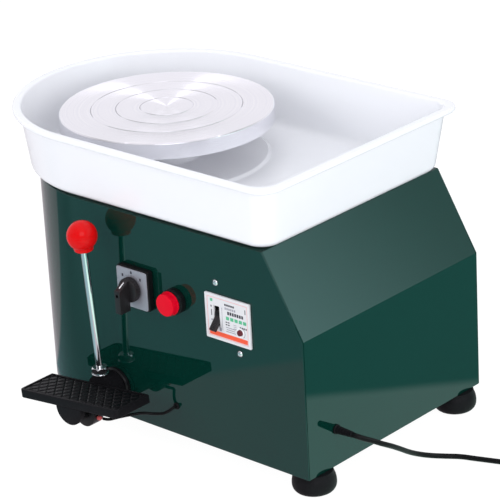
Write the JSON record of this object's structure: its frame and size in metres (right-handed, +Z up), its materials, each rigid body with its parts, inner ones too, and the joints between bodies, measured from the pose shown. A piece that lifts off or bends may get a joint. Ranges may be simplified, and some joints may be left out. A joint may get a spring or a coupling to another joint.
{
  "type": "pottery wheel",
  "caption": "Table-top electric pottery wheel: painted steel cabinet, lift-off splash basin, belt-driven aluminium wheel head, side pedal with hand lever.",
  "frame": {"origin": "centre of the box of the machine without its mains lead, on the surface that it stands on", "axes": "+X towards the squared end with the sloped panel, +Y away from the control panel, +Z up along the wheel's axis"},
  "size_m": [0.6947, 0.401, 0.3594],
  "materials": {
    "green_paint": "high gloss",
    "white_plastic": "gloss",
    "turned_aluminium": "turned",
    "steel": "machined",
    "chrome": "polished",
    "cast_iron": "as cast",
    "black_rubber": "matte",
    "black_plastic": "satin",
    "red_plastic": "gloss",
    "dark_red_plastic": "gloss",
    "red_lens": "gloss",
    "silver_plate": "anodised",
    "motor_black": "satin",
    "grey_plastic": "matte",
    "brass": "bare"
  },
  "bodies": {
    "cabinet": {"cabinet_wrap": "green_paint", "end_panel": "green_paint", "top_deck": "green_paint", "base_plate": "motor_black", "foot_front_right": "black_rubber", "foot_rear_right": "black_rubber", "foot_front_left": "black_rubber", "foot_rear_left": "black_rubber", "bearing_housing": "cast_iron", "upper_bearing": "chrome", "lower_bearing": "chrome", "bearing_bolt_1": "steel", "bearing_bolt_2": "steel", "bearing_bolt_3": "steel", "bearing_bolt_4": "steel", "drive_belt": "black_rubber", "motor_housing": "motor_black", "motor_end_cap": "silver_plate", "motor_bracket": "steel", "controller_box": "grey_plastic", "switch_base": "black_plastic", "switch_plate": "silver_plate", "switch_body": "black_plastic", "lamp_bezel": "black_plastic", "lamp_lens": "red_lens", "lamp_body": "black_plastic", "breaker_face": "white_plastic", "breaker_body": "black_plastic", "breaker_screw_upper": "chrome", "breaker_screw_lower": "chrome", "pedal_bracket": "black_plastic", "pedal_shaft": "steel", "speed_sensor": "black_plastic", "sensor_cap": "red_plastic", "pedal_cable": "black_rubber", "pedal_cable_grommet": "black_rubber", "cord_strain_relief": "black_rubber", "mains_cord": "black_rubber", "cord_coil": "black_rubber", "cord_tail": "black_rubber", "cord_tie": "black_plastic", "plug_body": "black_rubber", "plug_blade_left": "brass", "plug_blade_right": "brass", "plug_ground_pin": "brass"},
    "drive_spindle": {"spindle": "steel", "drive_pin": "steel", "driven_pulley": "cast_iron"},
    "throwing_head": {"wheel_head": "turned_aluminium"},
    "splash_basin": {"basin": "white_plastic"},
    "motor_rotor": {"motor_shaft": "steel", "motor_pulley": "steel"},
    "speed_pedal": {"pedal_plate": "black_rubber", "pedal_tread": "black_rubber", "lever_nut": "chrome", "lever_rod": "chrome", "lever_knob": "red_plastic"},
    "direction_knob": {"switch_knob": "black_plastic"},
    "breaker_lever": {"breaker_toggle": "black_plastic"},
    "test_button": {"breaker_test_button": "dark_red_plastic"}
  },
  "joints": [
    {"name": "wheel_spin", "type": "hinge", "parent": "cabinet", "child": "drive_spindle", "pos_m": [-0.0787, 0.0305, 0.2], "axis": [0, 0, 1], "continuous": true},
    {"name": "wheel_head_lift", "type": "slide", "parent": "drive_spindle", "child": "throwing_head", "axis": [0, 0, 1], "range_m": [0, 0.1]},
    {"name": "basin_lift", "type": "slide", "parent": "cabinet", "child": "splash_basin", "axis": [0, 0, 1], "range_m": [0, 0.1]},
    {"name": "motor_spin", "type": "hinge", "parent": "cabinet", "child": "motor_rotor", "pos_m": [0.1093, 0.0305, 0.12], "axis": [0, 0, 1], "continuous": true},
    {"name": "pedal_tilt", "type": "hinge", "parent": "cabinet", "child": "speed_pedal", "pos_m": [-0.0377, -0.15, 0.062], "axis": [0, 1, 0], "range_deg": [-24, 8]},
    {"name": "direction_turn", "type": "hinge", "parent": "cabinet", "child": "direction_knob", "pos_m": [0.0083, -0.14, 0.1965], "axis": [0, 1, 0], "range_deg": [-45, 45]},
    {"name": "breaker_flip", "type": "hinge", "parent": "cabinet", "child": "breaker_lever", "pos_m": [0.1295, -0.1184, 0.193], "axis": [-1, 0, 0], "range_deg": [0, 88]},
    {"name": "test_press", "type": "slide", "parent": "cabinet", "child": "test_button", "axis": [0, 1, 0], "range_m": [0, 0.0018], "stiffness_N_per_m": 150}
  ],
  "couplings": [
    {"joint": "motor_spin", "follows": "wheel_spin", "ratio": 4.643},
    {"joint": "basin_lift", "follows": "wheel_head_lift", "ratio": 1}
  ]
}
